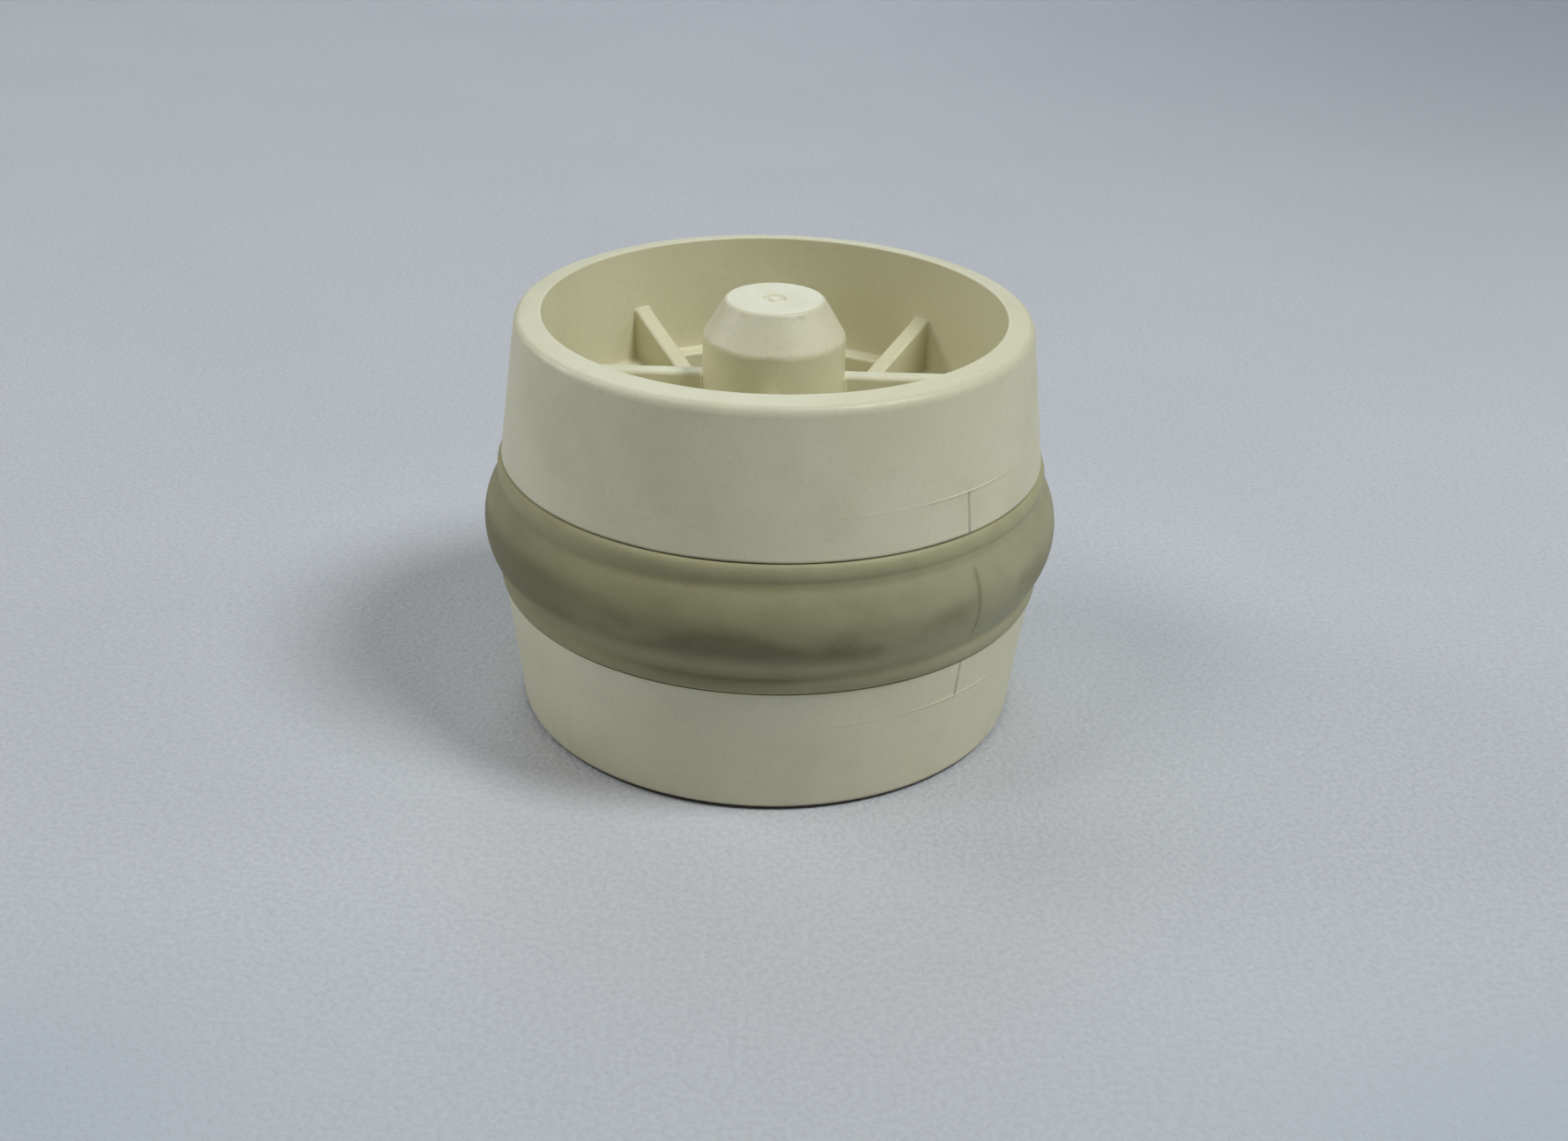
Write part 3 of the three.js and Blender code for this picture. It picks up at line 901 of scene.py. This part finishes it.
def make_bearing(name, ball_body, z, looks):
    steel = looks["bearing_steel"]
    inner_ring = lathe(f"{name}_inner_race", raised(inner_race(), z))
    settle(inner_ring, "axle", f"{name}_inner_ring", steel)
    outer_ring = lathe(f"{name}_outer_race", raised(outer_race(), z))
    settle(outer_ring, "roller", f"{name}_outer_ring", steel)
    shield_in_r = INNER_LAND_R + SHIELD_GAP
    shield_out_r = OUTER_LAND_R - FIT
    upper_low = BEARING_WIDTH - SHIELD_RECESS - SHIELD_THICKNESS
    for side, low in (("lower", SHIELD_RECESS), ("upper", upper_low)):
        high = z + low + SHIELD_THICKNESS
        outline = ring_outline(shield_in_r, shield_out_r, z + low, high, 0.12)
        shield = lathe(f"{name}_{side}_seal", outline)
        settle(shield, "roller", f"{name}_{side}_shield", looks["seal"])
    settle(make_cage(f"{name}_crown", z), ball_body, f"{name}_cage", looks["cage"])
    for i in range(BALLS):
        sphere = ball(f"{name}_sphere_{i + 1}", ball_centre(i, z), BALL_R)
        settle(sphere, ball_body, f"{name}_ball_{i + 1}", steel)


# ---------------------------------------------------------------- spindle, washers and circlips


def screw_tap():
    """A solid of the tapped hole: a core with a helical thread, and a countersunk mouth."""
    steps_round = 48
    steps_up = 12
    low = SPINDLE_FOOT_Z - THREAD_PITCH
    high = SPINDLE_FOOT_Z + TAPPED_DEPTH
    rows = int((high - low) / THREAD_PITCH * steps_up)
    vertices = [(0, 0, low)]
    for row in range(rows + 1):
        z = low + (high - low) * row / rows
        for i in range(steps_round):
            azimuth = TURN * i / steps_round
            phase = (z / THREAD_PITCH - azimuth / TURN) % 1
            ridge = 1 - abs(2 * phase - 1)
            mouth = max(0, SPINDLE_FOOT_Z + THREAD_MOUTH - z)
            r = max(TAPPED_R + THREAD_DEPTH * ridge, TAPPED_R + mouth)
            vertices.append((r * math.cos(azimuth), r * math.sin(azimuth), z))
    vertices.append((0, 0, high + TAPPED_R / 2))
    top = len(vertices) - 1
    faces = []
    for i in range(steps_round):
        j = (i + 1) % steps_round
        faces.append((0, 1 + j, 1 + i))
        faces.append((top, 1 + rows * steps_round + i, 1 + rows * steps_round + j))
        for row in range(rows):
            low_row = 1 + row * steps_round
            high_row = low_row + steps_round
            faces.append((low_row + i, low_row + j, high_row + j, high_row + i))
    return new_object("tap", vertices, faces)


def make_shank():
    groove_low = spindle_clip_low - STACK_GAP
    groove_high = spindle_clip_low + SPINDLE_CLIP["thickness"] + STACK_GAP
    shoulder_z = LOWER_BEARING_Z - STACK_GAP
    bore_r = BEARING_BORE_R
    outline = rounded(
        [
            (0, SPINDLE_FOOT_Z + 1, 0),
            (SHOULDER_R, SPINDLE_FOOT_Z + 1, 0),
            (SHOULDER_R, shoulder_z, 0.3),
            (bore_r, shoulder_z, 0.2),
            (bore_r, groove_low, 0.08),
            (bore_r - CLIP_GROOVE, groove_low, 0),
            (bore_r - CLIP_GROOVE, groove_high, 0),
            (bore_r, groove_high, 0.08),
            (bore_r, SPINDLE_TOP_Z - CHAMFER, 0.1),
            (bore_r - CHAMFER, SPINDLE_TOP_Z, 0.1),
            (0, SPINDLE_TOP_Z, 0),
        ]
    )
    return lathe("axle_pin", outline)


def make_foot():
    """The hexagonal foot, with its corners turned off at both ends."""
    corner_r = FOOT_FLATS / math.sqrt(3)
    angles = [TURN * i / 6 for i in range(6)]
    hexagon = [(corner_r * math.sin(a), corner_r * math.cos(a)) for a in angles]
    foot = prism("hexagon", hexagon, SPINDLE_FOOT_Z, FOOT_TOP_Z)
    face_r = FOOT_FLATS / 2 - FOOT_FACE_INSET
    outer_r = corner_r + FOOT_MARGIN
    fall = (outer_r - face_r) * math.tan(FOOT_BEVEL)
    cone = [
        (0, SPINDLE_FOOT_Z, 0),
        (face_r, SPINDLE_FOOT_Z, 0.15),
        (outer_r, SPINDLE_FOOT_Z + fall, 0),
        (outer_r, FOOT_TOP_Z - fall, 0),
        (face_r, FOOT_TOP_Z, 0.15),
        (0, FOOT_TOP_Z, 0),
    ]
    combine(foot, lathe("foot_chamfer", rounded(cone)), "INTERSECT")
    return foot


def make_spindle(material):
    spindle = make_shank()
    combine(spindle, make_foot(), "UNION")
    combine(spindle, screw_tap(), "DIFFERENCE")
    settle(spindle, "axle", "spindle", material)


def make_circlip(name, size, low, inner_r):
    """An open spring ring with a drilled lug on each side of its gap, which lies on +X."""
    outer_r = inner_r + size["width"]
    high = low + size["thickness"]
    lug_r = size["lug_r"]
    lug_centre_r = size["lug_centre_r"]
    lug_angle = CLIP_HALF_GAP + lug_r / lug_centre_r
    sweep = TURN - 2 * CLIP_HALF_GAP
    angles = [CLIP_HALF_GAP + sweep * i / CLIP_STEPS for i in range(CLIP_STEPS + 1)]
    outline = [(outer_r * math.cos(a), outer_r * math.sin(a)) for a in angles]
    outline += [(inner_r * math.cos(a), inner_r * math.sin(a)) for a in reversed(angles)]
    clip = prism(name, outline, low, high)
    for angle in (lug_angle, -lug_angle):
        centre = (lug_centre_r * math.cos(angle), lug_centre_r * math.sin(angle))
        combine(clip, prism("lug", disc_outline(lug_r, centre), low, high), "UNION")
        hole = prism("hole", disc_outline(size["hole_r"], centre), low - 1, high + 1)
        combine(clip, hole, "DIFFERENCE")
    return clip


def make_small_parts(looks):
    hole_r = BEARING_BORE_R + FIT
    spacer_out_r = hole_r + SPACER_WALL
    seated_r = BEARING_OUTER_R - FIT
    spacer_in_r = seated_r - SPACER_WALL
    washer_r = BEARING_OUTER_R - DUST_WASHER_GAP
    spacer = (spacer_low, spacer_high)
    washer = (dust_washer_low, dust_washer_high)
    rings = (
        ("race_spacer", "inner_spacer", "axle", (hole_r, spacer_out_r, *spacer, 0.15), "steel"),
        ("housing_spacer", "outer_spacer", "roller", (spacer_in_r, seated_r, *spacer, 0.2), "cage"),
        ("shim", "shim_washer", "axle", (hole_r, INNER_LAND_R, shim_low, shim_high, 0.08), "steel"),
        ("dust_seal", "dust_washer", "axle", (SHOULDER_R + FIT, washer_r, *washer, 0.25), "seal"),
    )
    for name, node, body, sizes, slot in rings:
        ring = lathe(name, ring_outline(*sizes))
        settle(ring, body, node, looks[slot])
    spring_steel = looks["spring_steel"]
    hub_clip_r = BEARING_OUTER_R + CLIP_GROOVE - HUB_CLIP["width"]
    hub_clip = make_circlip("housing_clip", HUB_CLIP, hub_clip_low, hub_clip_r)
    settle(hub_clip, "roller", "hub_circlip", spring_steel)
    axle_clip_r = BEARING_BORE_R - CLIP_GROOVE + FIT
    axle_clip = make_circlip("axle_clip", SPINDLE_CLIP, spindle_clip_low, axle_clip_r)
    settle(axle_clip, "axle", "spindle_circlip", spring_steel)


# ---------------------------------------------------------------- stage


def make_floor():
    """A wide sheet of grainy paper, with painted shade that makes it bluer and darker in front of
    the roller, most towards the sides, and darker to the far right.
    """
    look = Look("pale_paper", 0.85)
    cloud = look.noise(14, 4)
    grain = look.noise(1100, 4)
    colour = look.mix(look.band(cloud, 0.3, 0.7), (0.622, 0.638, 0.662), (0.648, 0.662, 0.685))
    # Painted shade: bluer and darker in front of the roller, most towards the sides.
    front = look.band(look.along("Y"), -120 * MM, -50 * MM, 1.0, 0.0)
    side = look.band(look.math("ABSOLUTE", look.along("X")), 20 * MM, 110 * MM, 0.2, 1.0)
    colour = look.mix(look.times(front, side), colour, (0.485, 0.545, 0.605))
    far = look.band(look.along("Y"), 100 * MM, 500 * MM)
    right = look.band(look.along("X"), -50 * MM, 330 * MM)
    colour = look.mix(look.times(far, right), colour, (0.47, 0.475, 0.52))
    look.colour(look.mix(look.band(grain, 0.35, 0.65, 0.0, 0.5), colour, (0.515, 0.53, 0.56)))
    look.height(grain, 0.4)
    half = 4000.0
    corners = [(-half, -half, 0), (half, -half, 0), (half, half, 0), (-half, half, 0)]
    floor = new_object("floor", corners, [(0, 1, 2, 3)])
    floor.data.materials.append(look.material)


def soft_light(name, azimuth, elevation, size, power, colour):
    """A round lamp that faces the roller."""
    lamp = bpy.data.lights.new(name, "AREA")
    lamp.shape = "DISK"
    lamp.size = size
    lamp.energy = power
    lamp.color = colour
    obj = add_object(name, lamp)
    turn = math.radians(azimuth)
    rise = math.radians(elevation)
    level = math.cos(rise)
    place = Vector((level * math.cos(turn), level * math.sin(turn), math.sin(rise)))
    obj.location = LAMP_DISTANCE * place
    obj.rotation_euler = place.to_track_quat("Z", "Y").to_euler()


def make_light():
    for lamp in LAMPS:
        soft_light(*lamp)
    world = bpy.data.worlds.new("studio")
    world.use_nodes = True
    background = world.node_tree.nodes["Background"]
    background.inputs["Color"].default_value = (*WHITE, 1.0)
    background.inputs["Strength"].default_value = WORLD_STRENGTH
    bpy.context.scene.world = world
    bpy.context.scene.view_settings.view_transform = "Standard"


# ---------------------------------------------------------------- making it all

make_camera()
make_light()
make_floor()

looks = {
    "steel": metal("zinc_plated_steel", (0.50, 0.51, 0.52), (0.64, 0.65, 0.65), 0.32, 900),
    "bearing_steel": metal("ground_steel", (0.60, 0.61, 0.62), (0.72, 0.73, 0.74), 0.14, 1500),
    "spring_steel": metal("phosphated_steel", (0.12, 0.115, 0.11), (0.22, 0.21, 0.20), 0.42, 600),
    "seal": soft_black(),
    "cage": natural_nylon(),
}
make_shell(cream_plastic())
make_band(olive_soft_plastic())
make_spindle(looks["steel"])
make_bearing("lower_bearing", "lower_ball_set", LOWER_BEARING_Z, looks)
make_bearing("upper_bearing", "upper_ball_set", UPPER_BEARING_Z, looks)
make_small_parts(looks)
